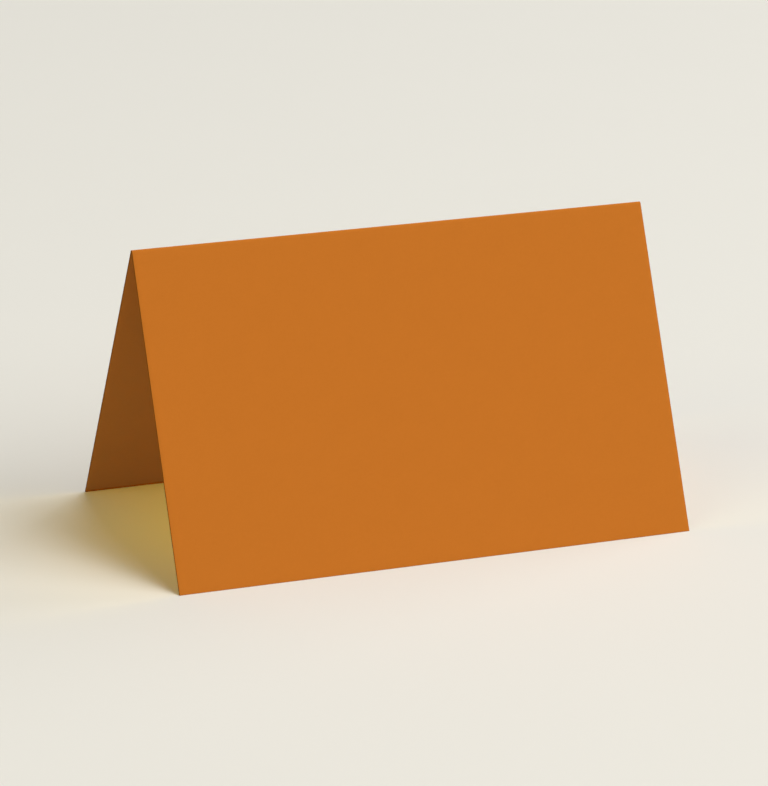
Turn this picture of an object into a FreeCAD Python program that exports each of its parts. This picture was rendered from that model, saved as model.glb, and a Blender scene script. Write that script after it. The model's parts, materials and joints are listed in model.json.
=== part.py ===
import FreeCAD, Part
import math
import os

import Sketcher

# A blank tent-fold place card: one rectangle of card stock, creased across its middle and
# stood on its two cut edges like a small roof.
#
# Frame: X runs along the fold, -Y is the front, Z is up. The origin lies on the table,
# half way along the card and half way between its panels.

# Driving sizes in millimetres and degrees: alias, value, what it measures.
SIZES = [
    ("card_width", 90, "length of the fold and of both cut edges"),
    ("panel_length", 56, "fold crest to cut edge, measured with the card folded shut"),
    ("opening_angle", 52, "angle between the two panels as the card stands"),
    ("stock_thickness", 0.35, "thickness of the card stock"),
    ("inner_fold_radius", 0.05, "radius of the crease on the inside of the fold"),
]


def add_sheet(doc):
    """The spreadsheet that holds every driving size under its alias."""
    sheet = doc.addObject("Spreadsheet::Sheet", "sizes")
    for row, (alias, value, meaning) in enumerate(SIZES, start=1):
        sheet.set(f"A{row}", alias)
        sheet.set(f"B{row}", str(value))
        sheet.set(f"C{row}", meaning)
        sheet.setAlias(f"B{row}", alias)
    doc.recompute()
    return sheet


def origin_plane(body, role):
    """One of the body's own origin planes, by its role."""
    return next(plane for plane in body.Origin.OriginFeatures if plane.Role == role)


def start_of(geometry):
    """A line's or an arc's first point, as a sketch constraint names it."""
    return geometry, 1


def end_of(geometry):
    """A line's or an arc's last point, as a sketch constraint names it."""
    return geometry, 2


def centre_of(arc):
    """An arc's centre, as a sketch constraint names it."""
    return arc, 3


def draw_section(sketch, sheet):
    """Draws the card end-on: two straight panels and the crease that joins them."""
    # The sketch is drawn near its solution, so that the solver settles on the standing card.
    lean = math.radians(sheet.opening_angle / 2)
    inner = sheet.inner_fold_radius
    outer = inner + sheet.stock_thickness
    straight = sheet.panel_length - outer
    crease_height = straight * math.cos(lean) - inner * math.sin(lean)
    front, rear = -1, 1
    # A sketch numbers its own horizontal and vertical axes like this.
    table_line, middle_line = -1, -2

    def skin(side, radius, down):
        """A point on one skin of a panel: the skin's fold radius, and how far below the fold."""
        across = radius * math.cos(lean) + down * math.sin(lean)
        height = crease_height + radius * math.sin(lean) - down * math.cos(lean)
        return FreeCAD.Vector(side * across, height, 0)

    def line(first, last):
        return sketch.addGeometry(Part.LineSegment(first, last), False)

    def crease(radius):
        centre, normal = FreeCAD.Vector(0, crease_height, 0), FreeCAD.Vector(0, 0, 1)
        arc = Part.ArcOfCircle(Part.Circle(centre, normal, radius), lean, math.pi - lean)
        return sketch.addGeometry(arc, False)

    front_face = line(skin(front, outer, 0), skin(front, outer, straight))
    front_cut = line(skin(front, outer, straight), skin(front, inner, straight))
    front_back = line(skin(front, inner, straight), skin(front, inner, 0))
    crease_inside = crease(inner)
    rear_back = line(skin(rear, inner, 0), skin(rear, inner, straight))
    rear_cut = line(skin(rear, inner, straight), skin(rear, outer, straight))
    rear_face = line(skin(rear, outer, straight), skin(rear, outer, 0))
    crease_outside = crease(outer)

    shape = [
        # The panels run smoothly into the crease, inside and outside.
        ("Tangent", *start_of(front_face), *end_of(crease_outside)),
        ("Tangent", *end_of(front_back), *end_of(crease_inside)),
        ("Tangent", *start_of(rear_back), *start_of(crease_inside)),
        ("Tangent", *end_of(rear_face), *start_of(crease_outside)),
        ("Coincident", *centre_of(crease_inside), *centre_of(crease_outside)),
        ("PointOnObject", *centre_of(crease_outside), middle_line),
        # Both ends are cut square through the stock.
        ("Coincident", *end_of(front_face), *start_of(front_cut)),
        ("Coincident", *end_of(front_cut), *start_of(front_back)),
        ("Coincident", *end_of(rear_back), *start_of(rear_cut)),
        ("Coincident", *end_of(rear_cut), *start_of(rear_face)),
        ("Perpendicular", front_face, front_cut),
        ("Perpendicular", front_cut, front_back),
        ("Perpendicular", rear_back, rear_cut),
        ("Perpendicular", rear_cut, rear_face),
        # The inner arrises of the cut edges stand on the table, evenly about the middle.
        ("PointOnObject", *end_of(front_cut), table_line),
        ("Symmetric", *end_of(front_cut), *start_of(rear_cut), middle_line),
    ]
    for constraint in shape:
        sketch.addConstraint(Sketcher.Constraint(*constraint))

    # The fold takes its outer radius, inner radius plus stock, off each panel's length.
    straight_size = "sizes.panel_length - sizes.inner_fold_radius - sizes.stock_thickness"
    dimensions = [
        ("fold_radius", "sizes.inner_fold_radius", ("Radius", crease_inside, inner)),
        ("stock", "sizes.stock_thickness", ("Distance", front_cut, outer - inner)),
        ("straight", straight_size, ("Distance", front_face, straight)),
        ("opening", "sizes.opening_angle",
         ("Angle", *start_of(front_face), *end_of(rear_face), 2 * lean)),
    ]
    for name, expression, constraint in dimensions:
        index = sketch.addConstraint(Sketcher.Constraint(*constraint))
        sketch.renameConstraint(index, name)
        sketch.setExpression(f"Constraints.{name}", expression)


def add_folded_card(doc, sheet):
    """The card itself: its folded section, drawn end-on and padded along the fold."""
    body = doc.addObject("PartDesign::Body", "FoldedCard")
    body.Label = "folded_card"

    section = body.newObject("Sketcher::SketchObject", "FoldedSection")
    section.AttachmentSupport = (origin_plane(body, "YZ_Plane"), [""])
    section.MapMode = "FlatFace"
    draw_section(section, sheet)

    pad = body.newObject("PartDesign::Pad", "CardWidth")
    pad.Profile = section
    pad.SideType = "Symmetric"
    pad.setExpression("Length", "sizes.card_width")
    body.Tip = pad
    return body


def check(doc, bodies):
    """Stops the macro if any object failed or any body isn't one sound solid."""
    for item in doc.Objects:
        if {"Invalid", "Error"} & set(item.State):
            raise RuntimeError(f"{item.Label} failed to recompute: {item.State}")
        if item.isDerivedFrom("Sketcher::SketchObject") and not item.FullyConstrained:
            raise RuntimeError(f"{item.Label} isn't fully constrained")
    for body in bodies:
        if body.Shape.isNull() or not body.Shape.isValid() or len(body.Shape.Solids) != 1:
            raise RuntimeError(f"{body.Label} isn't one valid solid")


def export(bodies):
    """Writes one STEP file for each body, named by its label."""
    os.makedirs("parts", exist_ok=True)
    for body in bodies:
        body.Shape.exportStep(f"parts/{body.Label}.step")
        box = body.Shape.BoundBox
        print(f"{body.Label}: {box.XLength:.2f} x {box.YLength:.2f} x {box.ZLength:.2f} mm,"
              f" {body.Shape.Volume:.1f} mm3, lowest point {box.ZMin:.3f} mm")


def main():
    doc = FreeCAD.newDocument("place_card")
    sheet = add_sheet(doc)
    bodies = [add_folded_card(doc, sheet)]
    doc.recompute()
    check(doc, bodies)
    export(bodies)


main()
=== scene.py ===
import json
import math

import bmesh
import bpy
from bpy.props import FloatProperty, FloatVectorProperty, IntProperty, PointerProperty
from mathutils import Matrix, Vector


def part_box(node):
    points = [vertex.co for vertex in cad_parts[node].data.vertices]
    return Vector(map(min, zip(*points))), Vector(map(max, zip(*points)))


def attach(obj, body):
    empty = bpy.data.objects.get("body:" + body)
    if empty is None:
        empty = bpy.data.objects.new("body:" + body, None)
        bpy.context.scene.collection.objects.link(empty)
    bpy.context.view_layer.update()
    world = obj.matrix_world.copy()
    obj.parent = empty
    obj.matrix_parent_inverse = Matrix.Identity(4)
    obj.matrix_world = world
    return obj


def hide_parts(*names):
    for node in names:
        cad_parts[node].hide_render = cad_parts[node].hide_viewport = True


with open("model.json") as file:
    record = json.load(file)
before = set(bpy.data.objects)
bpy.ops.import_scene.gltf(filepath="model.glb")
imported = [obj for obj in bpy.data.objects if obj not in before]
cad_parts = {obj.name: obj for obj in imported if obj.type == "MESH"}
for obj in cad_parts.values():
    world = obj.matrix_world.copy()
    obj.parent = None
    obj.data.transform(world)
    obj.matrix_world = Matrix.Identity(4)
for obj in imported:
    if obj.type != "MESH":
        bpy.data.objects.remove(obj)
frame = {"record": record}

bl_info = {
    "name": "Folded Place Card",
    "version": (1, 0, 0),
    "blender": (4, 5, 0),
    "location": "3D View > Sidebar > Place Card",
    "description": "Builds a blank tent-fold place card with its card stock, and a small studio round it",
    "category": "Object",
}

MM = 0.001
CARD_NODE = "folded_card"
# Where each point of the card lay while the sheet was flat: across the card, along the sheet
# from the fold, and down into the stock from the outer skin, in metres.
FLAT_SHEET = "flat_sheet"

# The lays of fibres in a sheet of paper. For each: its direction in the sheet, in radians, its
# fibres' size against the longest, and how far they bend.
FIBRE_LAYS = ((0.2, 1.0, 0.4), (1.35, 0.8, 0.6), (-0.75, 0.6, 0.5))
# How thin a fibre is in the depth of the sheet, against its width.
FIBRE_FLATNESS = 0.4
# How far from its crest a fibre fades out, as a share of the noise that lays the fibres.
FIBRE_FADE = 0.18
# The share of the tooth that the matted fibres make. A fine grain makes the rest.
FIBRE_SHARE = 0.6
# The roughness of the paper in its hollows and on its raised fibres, and how much it shines.
HOLLOW_ROUGHNESS, FIBRE_ROUGHNESS = 0.96, 0.86
PAPER_SHINE = 0.1
# A cut edge against the faces: its fibres' contrast and tooth, as multiples, and its shine.
CUT_CONTRAST, CUT_TOOTH, CUT_SHINE = 4, 2, 0
# The stretched fibres are palest up to the first distance from the middle of the crease, and
# have faded out by the second.
CREASE_PALE, CREASE_FADED = 0.10 * MM, 0.45 * MM

# The table's faint clouds: how many lie in a metre, and how far they stand off from its colour.
TABLE_CLOUDS, TABLE_CLOUD_CONTRAST = 25.0, 0.002
TABLE_ROUGHNESS, TABLE_SHINE = 0.9, 0.1
# The squares along each side of the table's grid.
TABLE_SQUARES = 8
# The height on the card at which the softboxes are aimed.
AIM_HEIGHT = 20 * MM
# The width of the camera's sensor, in millimetres, to which its focal length belongs.
SENSOR_WIDTH = 36

# The softboxes round the card. For each: its angle round the table from the card's right end,
# its height as an angle, and half the angle that it fills, in degrees.
SOFTBOXES = {
    "key": (318, 38, 25),
    "overhead": (326, 78, 10),
    "right_fill": (20, 30, 15),
    "left_fill": (200, 35, 20),
}
# The lamps under the fold, which stand for the light that the card and the table pass between
# them. For each: its left and right ends, its width and its height, in millimetres, how far
# it spreads, in degrees, and whether it shines up or down.
FOLD_LIGHTS = {
    "glow": (-46, 25, 4, 42, 180, "down"),
    "bounce": (-54, 44, 48.4, 0.15, 90, "up"),
}


# ---------------------------------------------------------------------------------------------
# Sizes and colours that a user would change
# ---------------------------------------------------------------------------------------------


class CardSizes(bpy.types.PropertyGroup):
    """Sizes of the stock; the card's width, height and spread come from the frame."""

    stock_thickness: FloatProperty(
        name="Stock Thickness",
        description="Thickness of the card stock",
        default=0.35 * MM,
        min=0.05 * MM,
        precision=5,
        unit="LENGTH",
    )
    inner_fold_radius: FloatProperty(
        name="Inner Fold Radius",
        description="Radius of the crease on the inside of the fold",
        default=0.05 * MM,
        min=0.01 * MM,
        precision=5,
        unit="LENGTH",
    )
    arris_softness: FloatProperty(
        name="Arris Softness",
        description="How far the cut rounds each arris of the stock",
        default=0.04 * MM,
        min=0.0,
        precision=5,
        unit="LENGTH",
    )
    foot_bedding: FloatProperty(
        name="Foot Bedding",
        description="How far the soft cut edges bed down on the table: 0 as cut, 1 quite flat",
        default=0.9,
        subtype="FACTOR",
        min=0.0,
        max=1.0,
    )
    crease_steps: IntProperty(
        name="Crease Steps",
        description="Number of flats that make up the turn of the crease",
        default=20,
        min=4,
    )


class CardFinish(bpy.types.PropertyGroup):
    """Colours and surface of the card stock, with painted shade on its cut edges."""

    stock_colour: FloatVectorProperty(
        name="Stock Colour",
        description="Colour of the stock, which is dyed right through",
        subtype="COLOR",
        size=3,
        min=0.0,
        max=1.0,
        default=(0.523, 0.157, 0.0161),
    )
    # Painted shade: the stock is dyed right through, so its cut edges are the colour of the faces; this
    # darker colour stands in for the shade on them.
    cut_edge_painted_shade: FloatVectorProperty(
        name="Cut Colour",
        description="Colour of the stock where a blade has cut it",
        subtype="COLOR",
        size=3,
        min=0.0,
        max=1.0,
        default=(0.26, 0.085, 0.009),
    )
    crease_lift: FloatProperty(
        name="Crease Lift",
        description="How much paler the stretched fibres are along the crease",
        subtype="FACTOR",
        min=0.0,
        max=1.0,
        default=0.04,
    )
    fibre_length: FloatProperty(
        name="Fibre Length",
        description="Length of the longest fibres that show in the stock",
        default=1.6 * MM,
        min=0.1 * MM,
        precision=5,
        unit="LENGTH",
    )
    fibre_width: FloatProperty(
        name="Fibre Width",
        description="Width of the widest fibres that show in the stock",
        default=0.09 * MM,
        min=0.01 * MM,
        precision=5,
        unit="LENGTH",
    )
    fibre_contrast: FloatProperty(
        name="Fibre Contrast",
        description="How far a fibre stands off from the colour of the stock",
        subtype="FACTOR",
        min=0.0,
        max=1.0,
        default=0.05,
    )
    cloud_size: FloatProperty(
        name="Cloud Size",
        description="Size of the paler and darker clouds that the fibres form",
        default=5 * MM,
        min=0.5 * MM,
        precision=4,
        unit="LENGTH",
    )
    cloud_contrast: FloatProperty(
        name="Cloud Contrast",
        description="How far a cloud stands off from the colour of the stock",
        subtype="FACTOR",
        min=0.0,
        max=1.0,
        default=0.03,
    )
    tooth_height: FloatProperty(
        name="Tooth Height",
        description="How far the fibres stand up from the uncoated surface",
        default=0.006 * MM,
        min=0.0,
        precision=6,
        unit="LENGTH",
    )


class StudioSettings(bpy.types.PropertyGroup):
    """The pale table, its lights and the camera."""

    table_colour: FloatVectorProperty(
        name="Table Colour",
        description="Colour of the pale table",
        subtype="COLOR",
        size=3,
        min=0.0,
        max=1.0,
        default=(0.794, 0.774, 0.727),
    )
    table_width: FloatProperty(
        name="Table Width",
        description="Width and depth of the table",
        default=2.4,
        min=0.5,
        unit="LENGTH",
    )
    room_light: FloatProperty(
        name="Room Light",
        description="Strength of the even light from all round the room",
        default=0.131,
        min=0.0,
    )
    backdrop_colour: FloatVectorProperty(
        name="Backdrop Colour",
        description="Colour that the camera sees past the far edge of the table",
        subtype="COLOR",
        size=3,
        min=0.0,
        max=1.0,
        default=(0.72, 0.70, 0.655),
    )
    softbox_distance: FloatProperty(
        name="Softbox Distance",
        description="How far each softbox stands from the card",
        default=3.0,
        min=0.5,
        unit="LENGTH",
    )
    key_power: FloatProperty(
        name="Key Power",
        description="Power of the large softbox in front of the card, to its right",
        default=73.3,
        min=0.0,
        unit="POWER",
    )
    overhead_power: FloatProperty(
        name="Overhead Power",
        description="Power of the small softbox above the card",
        default=25.5,
        min=0.0,
        unit="POWER",
    )
    right_fill_power: FloatProperty(
        name="Right Fill Power",
        description="Power of the softbox at the card's right end",
        default=24.4,
        min=0.0,
        unit="POWER",
    )
    left_fill_power: FloatProperty(
        name="Left Fill Power",
        description="Power of the softbox that looks into the fold's open left end",
        default=15.7,
        min=0.0,
        unit="POWER",
    )
    left_fill_colour: FloatVectorProperty(
        name="Left Fill Colour",
        description="Colour of the softbox that looks into the fold's open left end",
        subtype="COLOR",
        size=3,
        min=0.0,
        default=(1.0, 0.958, 0.539),
    )
    glow_power: FloatProperty(
        name="Glow Power",
        description="Power of the warm light that the inner faces throw down on the table",
        default=0.01035,
        min=0.0,
        precision=4,
        unit="POWER",
    )
    glow_colour: FloatVectorProperty(
        name="Glow Colour",
        description="Colour of the warm light under the fold",
        subtype="COLOR",
        size=3,
        min=0.0,
        default=(1.0, 0.648, 0.0),
    )
    bounce_power: FloatProperty(
        name="Bounce Power",
        description="Power of the cool light that the table throws up on the inner faces",
        default=0.00726,
        min=0.0,
        precision=5,
        unit="POWER",
    )
    bounce_colour: FloatVectorProperty(
        name="Bounce Colour",
        description="Colour of the cool light on the inner faces",
        subtype="COLOR",
        size=3,
        min=0.0,
        default=(0.0, 0.521, 1.0),
    )
    camera_azimuth: FloatProperty(
        name="Camera Azimuth",
        description="How far the camera stands round to the card's left",
        default=math.radians(-22.022),
        subtype="ANGLE",
    )
    camera_elevation: FloatProperty(
        name="Camera Elevation",
        description="Height of the camera above the table, as an angle",
        default=math.radians(19.421),
        subtype="ANGLE",
    )
    camera_roll: FloatProperty(
        name="Camera Roll",
        description="Turn of the camera about its line of sight",
        default=math.radians(1.314),
        subtype="ANGLE",
    )
    camera_distance: FloatProperty(
        name="Camera Distance",
        description="Distance from the camera to the point that it looks at",
        default=0.70462,
        min=0.1,
        unit="LENGTH",
    )
    camera_target: FloatVectorProperty(
        name="Camera Target",
        description="The point that the camera looks at",
        subtype="TRANSLATION",
        size=3,
        default=(-0.632 * MM, 0.0, 21.17 * MM),
    )
    lens: FloatProperty(
        name="Lens",
        description="Focal length on a 36 mm sensor, in millimetres",
        default=193.534,
        min=10.0,
    )


# ---------------------------------------------------------------------------------------------
# The folded card
# ---------------------------------------------------------------------------------------------


def link(obj):
    """Puts a new object in the scene, and returns it."""
    bpy.context.scene.collection.objects.link(obj)
    return obj


class Fold:
    """The fold's measures: the frame gives the size, and the sizes give the stock."""

    def __init__(self, sizes):
        low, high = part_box(CARD_NODE)
        mounts = {mount["name"]: mount for mount in frame["record"]["mounts"]}
        self.width = high.x - low.x
        self.left = low.x
        self.stock = sizes.stock_thickness
        self.inner = sizes.inner_fold_radius
        self.outer = self.inner + self.stock
        self.lean = math.asin(mounts["front_face"]["axis"][2])
        self.crease_height = high.z - self.outer
        rise = self.crease_height + self.inner * math.sin(self.lean)
        self.straight = rise / math.cos(self.lean)
        self.turn = math.pi - 2 * self.lean
        # The sheet keeps its length along the middle of the stock.
        self.half_bend = (self.inner + self.stock / 2) * self.turn / 2
        self.half_sheet = self.half_bend + self.straight

    def outer_skin(self, side, down):
        """A point on a panel's outer skin, at the left end: side is -1 at the front."""
        across = self.outer * math.cos(self.lean) + down * math.sin(self.lean)
        height = self.outer * math.sin(self.lean) - down * math.cos(self.lean)
        return Vector((self.left, side * across, self.crease_height + height))

    def flat_place(self, point):
        """Where a point of the folded card lay while the sheet was flat."""
        side = -1 if point.y < 0 else 1
        out, up = abs(point.y), point.z - self.crease_height
        down = out * math.sin(self.lean) - up * math.cos(self.lean)
        if down >= 0:
            reach = out * math.cos(self.lean) + up * math.sin(self.lean)
            run = self.half_bend + down
        else:
            reach = math.hypot(out, up)
            run = self.half_bend * math.atan2(out, up) / (self.turn / 2)
        return Vector((point.x, side * run, self.outer - reach))


def draw_outer_skin(bm, fold, steps):
    """The outer skin of the whole sheet: up the front, round the crease and down the rear."""
    foot = bm.verts.new(fold.outer_skin(-1, fold.straight))
    crest = bmesh.ops.extrude_vert_indiv(bm, verts=[foot])["verts"][0]
    crest.co = fold.outer_skin(-1, 0)
    centre = Vector((fold.left, 0, fold.crease_height))
    bent = bmesh.ops.spin(
        bm, geom=[crest], cent=centre, axis=(-1, 0, 0), dvec=(0, 0, 0),
        angle=fold.turn, steps=steps, use_merge=False, use_normal_flip=False,
        use_duplicate=False,
    )["geom_last"]
    end = next(item for item in bent if isinstance(item, bmesh.types.BMVert))
    rear_foot = bmesh.ops.extrude_vert_indiv(bm, verts=[end])["verts"][0]
    rear_foot.co = fold.outer_skin(1, fold.straight)

    swept = bmesh.ops.extrude_edge_only(bm, edges=bm.edges[:])["geom"]
    moved = [item for item in swept if isinstance(item, bmesh.types.BMVert)]
    bmesh.ops.translate(bm, verts=moved, vec=(fold.width, 0, 0))
    bmesh.ops.recalc_face_normals(bm, faces=bm.faces[:])
    if sum(face.normal.z * face.calc_area() for face in bm.faces) < 0:
        bmesh.ops.reverse_faces(bm, faces=bm.faces[:])


def bed_down_feet(bm, fold, share):
    """Lowers the outer arris of each foot, which a square cut leaves clear of the table."""
    clear = fold.stock * math.sin(fold.lean)
    raised = [vert for vert in bm.verts if clear / 2 < vert.co.z < 2 * clear]
    bmesh.ops.translate(bm, verts=raised, vec=(0, 0, -share * clear))


def round_arrises(bm, softness):
    """Rounds the two arrises of every cut edge, all the way round the sheet."""
    cut = math.radians(60)
    arrises = [edge for edge in bm.edges if edge.calc_face_angle(0) > cut]
    bmesh.ops.bevel(
        bm, geom=arrises, offset=softness, offset_type="OFFSET", affect="EDGES",
        segments=3, profile=0.5, material=-1, clamp_overlap=True,
    )


def hold_flats(bm, fold, margin):
    """Cuts each panel just inside its borders, so that its middle shades as a flat."""
    def cut(point, normal):
        geometry = bm.verts[:] + bm.edges[:] + bm.faces[:]
        bmesh.ops.bisect_plane(bm, geom=geometry, dist=1e-9, plane_co=point, plane_no=normal)

    for end in (fold.left + margin, fold.left + fold.width - margin):
        cut((end, 0, 0), (1, 0, 0))
    for side in (-1, 1):
        along = Vector((0, side * math.sin(fold.lean), -math.cos(fold.lean)))
        for down in (margin, fold.straight - margin):
            cut(fold.outer_skin(side, down), along)


def record_flat_places(mesh, fold):
    """Stores where each vertex lay in the flat sheet, for the materials to read."""
    layer = mesh.attributes.new(FLAT_SHEET, "FLOAT_VECTOR", "POINT")
    for vertex, entry in zip(mesh.vertices, layer.data):
        entry.vector = fold.flat_place(vertex.co)


def paint_cut_edges(mesh, fold, face_index, edge_index):
    """Gives the narrow faces round the sheet's border the cut-edge material, whose darker colour is
    painted shade.
    """
    places = mesh.attributes[FLAT_SHEET].data
    for face in mesh.polygons:
        middle = sum((places[i].vector for i in face.vertices), Vector()) / len(face.vertices)
        inside_x = fold.width / 2 - abs(middle.x)
        inside_run = fold.half_sheet - abs(middle.y)
        on_border = min(inside_x, inside_run) < 0.1 * fold.stock
        face.material_index = edge_index if on_border else face_index


def build_card(sizes, face_material, edge_material):
    """The folded card as one closed mesh, with its crease, its stock and its cut edges."""
    fold = Fold(sizes)
    bm = bmesh.new()
    draw_outer_skin(bm, fold, sizes.crease_steps)
    bmesh.ops.solidify(bm, geom=bm.faces[:], thickness=fold.stock)
    bmesh.ops.remove_doubles(bm, verts=bm.verts[:], dist=1e-8)
    bed_down_feet(bm, fold, sizes.foot_bedding)
    round_arrises(bm, sizes.arris_softness)
    hold_flats(bm, fold, margin=2 * fold.stock)
    bmesh.ops.recalc_face_normals(bm, faces=bm.faces[:])

    mesh = bpy.data.meshes.new("card_sheet")
    bm.to_mesh(mesh)
    bm.free()
    record_flat_places(mesh, fold)
    mesh.materials.append(face_material)
    mesh.materials.append(edge_material)
    paint_cut_edges(mesh, fold, 0, 1)
    mesh.polygons.foreach_set("use_smooth", [True] * len(mesh.polygons))
    return link(bpy.data.objects.new("card_sheet", mesh))


# ---------------------------------------------------------------------------------------------
# Materials
# ---------------------------------------------------------------------------------------------


def add_node(tree, kind, inputs=None, **settings):
    """Adds a node. Each input is given a number or a colour, or a socket to join it to."""
    node = tree.nodes.new(kind)
    for name, setting in settings.items():
        setattr(node, name, setting)
    for name, given in (inputs or {}).items():
        if isinstance(given, bpy.types.NodeSocket):
            tree.links.new(given, node.inputs[name])
        else:
            node.inputs[name].default_value = given
    return node


def maths(tree, operation, *terms):
    """The result of one sum on numbers and sockets."""
    return add_node(tree, "ShaderNodeMath", dict(enumerate(terms)), operation=operation).outputs[0]


def fade(tree, value, start, end, low=0.0, high=1.0):
    """Goes smoothly from low to high as the value goes from start to end."""
    return add_node(tree, "ShaderNodeMapRange", {
        "Value": value, "From Min": start, "From Max": end, "To Min": low, "To Max": high,
    }, interpolation_type="SMOOTHSTEP").outputs[0]


def new_group(name, inputs, outputs):
    """A shader node group with named sockets, and the nodes at its two ends."""
    group = bpy.data.node_groups.new(name, "ShaderNodeTree")
    for side, sockets in (("INPUT", inputs), ("OUTPUT", outputs)):
        for label, kind in sockets.items():
            group.interface.new_socket(label, in_out=side, socket_type=f"NodeSocket{kind}")
    return group, group.nodes.new("NodeGroupInput"), group.nodes.new("NodeGroupOutput")


def lay_fibres(tree, given, turn, share, bend):
    """One lay of fibres, all much in one direction: 1 along a fibre's crest, 0 between them."""
    width = maths(tree, "MULTIPLY", given["Fibre Width"], share)
    size = add_node(tree, "ShaderNodeCombineXYZ", {
        "X": maths(tree, "MULTIPLY", given["Fibre Length"], share),
        "Y": width,
        "Z": maths(tree, "MULTIPLY", width, FIBRE_FLATNESS),
    })
    place = add_node(tree, "ShaderNodeMapping", {
        "Vector": given["Place"], "Location": (turn, turn, turn), "Rotation": (0, 0, turn),
        "Scale": size.outputs[0],
    }, vector_type="TEXTURE")
    noise = add_node(tree, "ShaderNodeTexNoise", {
        "Vector": place.outputs[0], "Scale": 1.0, "Detail": 1.0, "Roughness": 0.5,
        "Distortion": bend,
    })
    off_crest = maths(tree, "ABSOLUTE", maths(tree, "SUBTRACT", noise.outputs[0], 0.5))
    return fade(tree, off_crest, 0.0, FIBRE_FADE, low=1.0, high=0.0)


def paper_surface():
    """Matted fibres over soft clouds: the colour and the tooth of uncoated paper."""
    group, start, end = new_group("paper_surface", {
        "Place": "Vector", "Colour": "Color",
        "Fibre Length": "Float", "Fibre Width": "Float", "Fibre Contrast": "Float",
        "Cloud Size": "Float", "Cloud Contrast": "Float",
    }, {"Colour": "Color", "Tooth": "Float"})
    given = start.outputs

    lays = [lay_fibres(group, given, *lay) for lay in FIBRE_LAYS]
    matted = lays[0]
    for lay in lays[1:]:
        matted = maths(group, "ADD", matted, lay)
    matted = maths(group, "DIVIDE", matted, len(lays))
    clouds = add_node(group, "ShaderNodeTexNoise", {
        "Vector": given["Place"], "Scale": maths(group, "DIVIDE", 1.0, given["Cloud Size"]),
        "Detail": 3.0, "Roughness": 0.55,
    }).outputs[0]
    grain = add_node(group, "ShaderNodeTexNoise", {
        "Vector": given["Place"], "Scale": maths(group, "DIVIDE", 1.0, given["Fibre Width"]),
        "Detail": 2.0, "Roughness": 0.6,
    }).outputs[0]

    lightness = 1.0
    for pattern, contrast in ((matted, "Fibre Contrast"), (clouds, "Cloud Contrast")):
        shift = maths(group, "MULTIPLY", maths(group, "SUBTRACT", pattern, 0.5), given[contrast])
        lightness = maths(group, "ADD", shift, lightness)
    colour = add_node(group, "ShaderNodeVectorMath", {
        0: given["Colour"], "Scale": lightness,
    }, operation="SCALE").outputs[0]
    group.links.new(colour, end.inputs["Colour"])
    tooth = maths(group, "ADD", maths(group, "MULTIPLY", matted, FIBRE_SHARE),
                  maths(group, "MULTIPLY", grain, 1 - FIBRE_SHARE))
    group.links.new(tooth, end.inputs["Tooth"])
    return group


def paper_material(name, surface, place, values, tooth_height, shine=PAPER_SHINE):
    """A matt material in which a paper surface gives the colour, roughness and bump.

    place makes the node whose output says where in the sheet a point is. Returns the material
    and the paper surface's node, for what one material alone adds.
    """
    material = bpy.data.materials.new(name)
    material.use_nodes = True
    tree = material.node_tree
    shader = tree.nodes["Principled BSDF"]
    paper = add_node(tree, "ShaderNodeGroup", node_tree=surface)
    tree.links.new(place(tree), paper.inputs["Place"])
    for label, value in values.items():
        paper.inputs[label].default_value = value
    bump = add_node(tree, "ShaderNodeBump", {
        "Height": paper.outputs["Tooth"], "Distance": tooth_height,
    })
    tree.links.new(paper.outputs["Colour"], shader.inputs["Base Color"])
    roughness = fade(tree, paper.outputs["Tooth"], 0.2, 0.8,
                     low=HOLLOW_ROUGHNESS, high=FIBRE_ROUGHNESS)
    tree.links.new(roughness, shader.inputs["Roughness"])
    tree.links.new(bump.outputs["Normal"], shader.inputs["Normal"])
    shader.inputs["Specular IOR Level"].default_value = shine
    return material, paper


def flat_place(tree):
    """Where a point of the card lay in the flat sheet."""
    node = add_node(tree, "ShaderNodeAttribute", attribute_type="GEOMETRY",
                    attribute_name=FLAT_SHEET)
    return node.outputs["Vector"]


def card_values(finish, colour, contrast=1.0):
    """What the stock's fibres and clouds look like in one of its colours."""
    return {
        "Colour": (*colour, 1),
        "Fibre Length": finish.fibre_length,
        "Fibre Width": finish.fibre_width,
        "Fibre Contrast": contrast * finish.fibre_contrast,
        "Cloud Size": finish.cloud_size,
        "Cloud Contrast": finish.cloud_contrast,
    }


def card_face_material(surface, finish):
    """The two faces of the stock, a little paler where the crease stretches the fibres."""
    material, paper = paper_material(
        "card_face", surface, flat_place, card_values(finish, finish.stock_colour),
        finish.tooth_height,
    )
    tree = material.node_tree
    run = add_node(tree, "ShaderNodeSeparateXYZ", {0: paper.inputs["Place"].links[0].from_socket})
    from_crease = maths(tree, "ABSOLUTE", run.outputs["Y"])
    on_crease = fade(tree, from_crease, CREASE_PALE, CREASE_FADED, low=1.0, high=0.0)
    cracked = maths(tree, "MULTIPLY", on_crease, paper.outputs["Tooth"])
    lift = maths(tree, "MULTIPLY_ADD", cracked, 2 * finish.crease_lift, 1.0)
    paler = add_node(tree, "ShaderNodeVectorMath", {
        0: paper.outputs["Colour"], "Scale": lift,
    }, operation="SCALE").outputs[0]
    tree.links.new(paler, tree.nodes["Principled BSDF"].inputs["Base Color"])
    return material


# ---------------------------------------------------------------------------------------------
# The studio
# ---------------------------------------------------------------------------------------------


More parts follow.
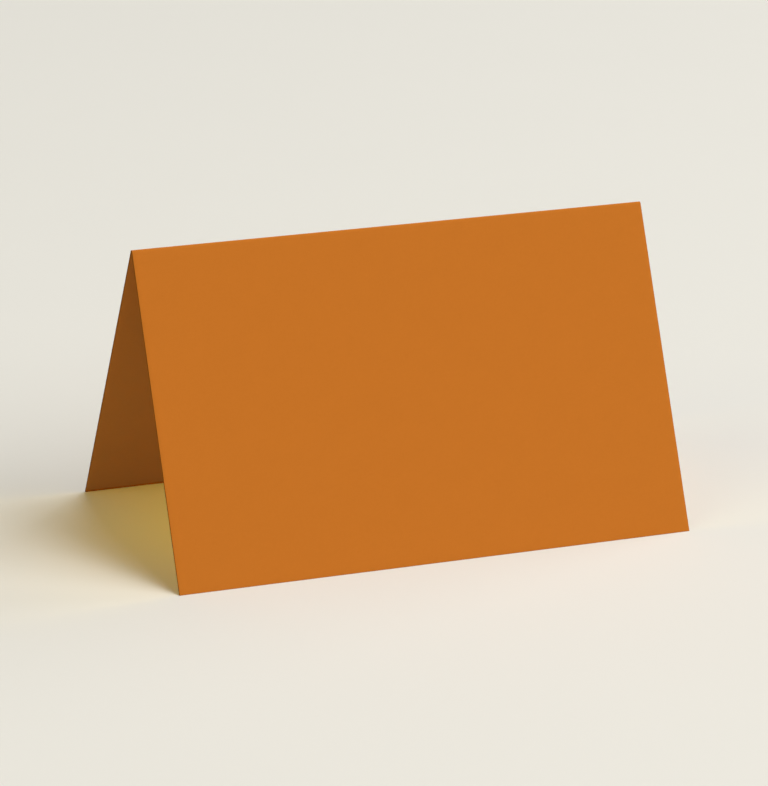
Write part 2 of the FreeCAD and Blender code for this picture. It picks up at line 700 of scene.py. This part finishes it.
def add_camera(studio):
    """The camera stands in front of the card, round to its left and a little above it."""
    azimuth, elevation = studio.camera_azimuth, studio.camera_elevation
    back = Vector((
        math.sin(azimuth) * math.cos(elevation),
        -math.cos(azimuth) * math.cos(elevation),
        math.sin(elevation),
    ))
    data = bpy.data.cameras.new("camera")
    data.lens = studio.lens
    data.sensor_width = SENSOR_WIDTH
    camera = link(bpy.data.objects.new("camera", data))
    turn = (-back).to_track_quat("-Z", "Y").to_matrix().to_4x4()
    roll = Matrix.Rotation(studio.camera_roll, 4, "Z")
    place = Matrix.Translation(Vector(studio.camera_target) + back * studio.camera_distance)
    camera.matrix_world = place @ turn @ roll
    bpy.context.scene.camera = camera


def table_material(colour):
    """Plain matt board, with the faintest clouds in its colour."""
    material = bpy.data.materials.new("table_top")
    material.use_nodes = True
    tree = material.node_tree
    clouds = add_node(tree, "ShaderNodeTexNoise", {
        "Vector": add_node(tree, "ShaderNodeTexCoord").outputs["Object"],
        "Scale": TABLE_CLOUDS, "Detail": 2.0,
    }).outputs[0]
    lightness = fade(tree, clouds, 0.2, 0.8,
                     low=1 - TABLE_CLOUD_CONTRAST, high=1 + TABLE_CLOUD_CONTRAST)
    shade = add_node(tree, "ShaderNodeVectorMath", {
        0: colour, "Scale": lightness,
    }, operation="SCALE").outputs[0]
    shader = tree.nodes["Principled BSDF"]
    tree.links.new(shade, shader.inputs["Base Color"])
    shader.inputs["Roughness"].default_value = TABLE_ROUGHNESS
    shader.inputs["Specular IOR Level"].default_value = TABLE_SHINE
    return material


def add_table(studio):
    """The pale table under the card."""
    bm = bmesh.new()
    bmesh.ops.create_grid(bm, x_segments=TABLE_SQUARES, y_segments=TABLE_SQUARES,
                          size=studio.table_width / 2)
    mesh = bpy.data.meshes.new("table")
    bm.to_mesh(mesh)
    bm.free()
    mesh.materials.append(table_material(studio.table_colour))
    table = link(bpy.data.objects.new("table", mesh))
    return table


def add_area_light(name, place, aim, power, colour, **shape):
    """A lamp that the camera doesn't see, turned to face the point that it lights."""
    data = bpy.data.lights.new(name, "AREA")
    data.energy = power
    data.color = colour
    for setting, value in shape.items():
        setattr(data, setting, value)
    light = link(bpy.data.objects.new(name, data))
    light.location = place
    light.rotation_mode = "QUATERNION"
    light.rotation_quaternion = (Vector(aim) - Vector(place)).to_track_quat("-Z", "Y")
    light.visible_camera = False
    return light


def add_softbox(name, power, colour, distance):
    """A round softbox that faces the middle of the card."""
    azimuth, elevation, half_angle = map(math.radians, SOFTBOXES[name])
    away = Vector((
        math.cos(azimuth) * math.cos(elevation),
        math.sin(azimuth) * math.cos(elevation),
        math.sin(elevation),
    ))
    middle = Vector((0, 0, AIM_HEIGHT))
    size = 2 * distance * math.tan(half_angle)
    add_area_light(name, middle + distance * away, middle, power, colour,
                   shape="DISK", size=size)


def add_fold_light(name, power, colour, table, card):
    """A lamp that runs along under the fold: it lights only the table, or only the card."""
    *sizes, spread, way = FOLD_LIGHTS[name]
    left, right, width, height = (size * MM for size in sizes)
    middle = Vector(((left + right) / 2, 0, height))
    ahead = Vector((0, 0, 1 if way == "up" else -1))
    light = add_area_light(name, middle, middle + ahead, power, colour,
                           shape="RECTANGLE", size=right - left, size_y=width,
                           spread=math.radians(spread))
    lit = bpy.data.collections.new(f"lit_by_{name}")
    lit.objects.link(card if way == "up" else table)
    light.light_linking.receiver_collection = lit


def light_room(strength, backdrop_colour):
    """Even white light from all round, behind a pale backdrop that only the camera sees."""
    world = bpy.data.worlds.new("room_light")
    world.use_nodes = True
    tree = world.node_tree
    room = tree.nodes["Background"]
    room.inputs["Color"].default_value = (1, 1, 1, 1)
    room.inputs["Strength"].default_value = strength
    backdrop = add_node(tree, "ShaderNodeBackground", {"Color": (*backdrop_colour, 1)})
    seen = add_node(tree, "ShaderNodeMixShader", {
        0: add_node(tree, "ShaderNodeLightPath").outputs["Is Camera Ray"],
        1: room.outputs[0],
        2: backdrop.outputs[0],
    })
    tree.links.new(seen.outputs[0], tree.nodes["World Output"].inputs["Surface"])
    bpy.context.scene.world = world


# ---------------------------------------------------------------------------------------------
# Operators and panel
# ---------------------------------------------------------------------------------------------


class PLACECARD_OT_folded_card(bpy.types.Operator):
    """Build the folded card over its CAD solid"""

    bl_idname = "placecard.folded_card"
    bl_label = "Folded Card"

    def execute(self, context):
        scene = context.scene
        finish = scene.card_finish
        surface = paper_surface()
        face = card_face_material(surface, finish)
        # The cut edges are darker than the faces: painted shade, since the stock is dyed right through.
        edge, _ = paper_material(
            "cut_edge", surface, flat_place,
            card_values(finish, finish.cut_edge_painted_shade, contrast=CUT_CONTRAST),
            CUT_TOOTH * finish.tooth_height, shine=CUT_SHINE,
        )
        card = build_card(scene.card_sizes, face, edge)
        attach(card, "root")
        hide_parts(CARD_NODE)
        return {"FINISHED"}


class PLACECARD_OT_studio(bpy.types.Operator):
    """Lay the pale table, light it softly and place the camera"""

    bl_idname = "placecard.studio"
    bl_label = "Studio"

    def execute(self, context):
        studio = context.scene.studio_settings
        table = add_table(studio)
        light_room(studio.room_light, studio.backdrop_colour)
        for name in SOFTBOXES:
            colour = getattr(studio, f"{name}_colour", (1, 1, 1))
            add_softbox(name, getattr(studio, f"{name}_power"), colour, studio.softbox_distance)
        card = bpy.data.objects["card_sheet"]
        for name in FOLD_LIGHTS:
            power, colour = getattr(studio, f"{name}_power"), getattr(studio, f"{name}_colour")
            add_fold_light(name, power, colour, table, card)
        add_camera(studio)
        context.scene.view_settings.view_transform = "Standard"
        return {"FINISHED"}


class PLACECARD_PT_sidebar(bpy.types.Panel):
    """The place card's pieces, sizes and colours"""

    bl_idname = "PLACECARD_PT_sidebar"
    bl_label = "Place Card"
    bl_space_type = "VIEW_3D"
    bl_region_type = "UI"
    bl_category = "Place Card"

    def draw(self, context):
        scene = context.scene
        for group, operator in (
            (scene.card_sizes, None),
            (scene.card_finish, PLACECARD_OT_folded_card),
            (scene.studio_settings, PLACECARD_OT_studio),
        ):
            column = self.layout.column()
            for name in group.bl_rna.properties.keys():
                if name not in {"rna_type", "name"}:
                    column.prop(group, name)
            if operator:
                column.operator(operator.bl_idname)


CLASSES = (
    CardSizes,
    CardFinish,
    StudioSettings,
    PLACECARD_OT_folded_card,
    PLACECARD_OT_studio,
    PLACECARD_PT_sidebar,
)


def register():
    for cls in CLASSES:
        bpy.utils.register_class(cls)
    bpy.types.Scene.card_sizes = PointerProperty(type=CardSizes)
    bpy.types.Scene.card_finish = PointerProperty(type=CardFinish)
    bpy.types.Scene.studio_settings = PointerProperty(type=StudioSettings)


def unregister():
    del bpy.types.Scene.studio_settings
    del bpy.types.Scene.card_finish
    del bpy.types.Scene.card_sizes
    for cls in reversed(CLASSES):
        bpy.utils.unregister_class(cls)


def main():
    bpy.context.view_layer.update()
    register()
    bpy.ops.placecard.folded_card()
    bpy.ops.placecard.studio()


if __name__ == "__main__":
    main()
